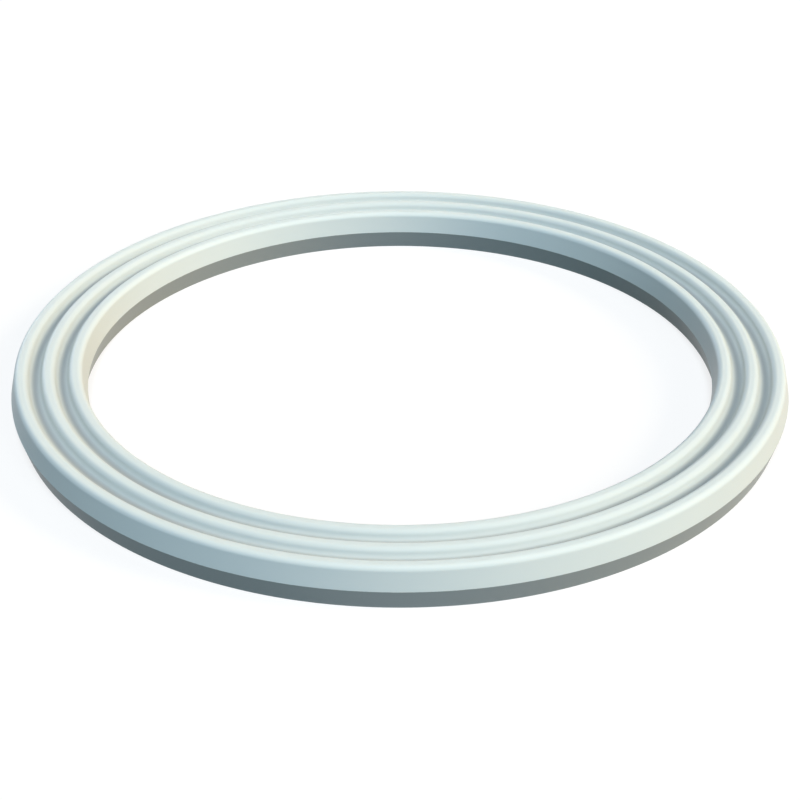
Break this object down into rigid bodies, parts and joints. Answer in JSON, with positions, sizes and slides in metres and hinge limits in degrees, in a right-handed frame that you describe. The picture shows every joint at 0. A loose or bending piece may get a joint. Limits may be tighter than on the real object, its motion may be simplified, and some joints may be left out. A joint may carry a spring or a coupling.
{
  "type": "flat sealing ring",
  "caption": "Flat one-piece plastic sealing ring with rounded concentric ribs on its upper face, a flat seat below and side walls that taper both ways from a parting line.",
  "frame": {"origin": "centre of the flat seat face, on the ring's axis", "axes": "+Z along the ring's axis, from the seat face towards the ribs"},
  "size_m": [0.025, 0.025, 0.0014],
  "materials": {
    "moulded_plastic": "satin"
  },
  "bodies": {
    "root": {"sealing_ring": "moulded_plastic"}
  },
  "joints": []
}
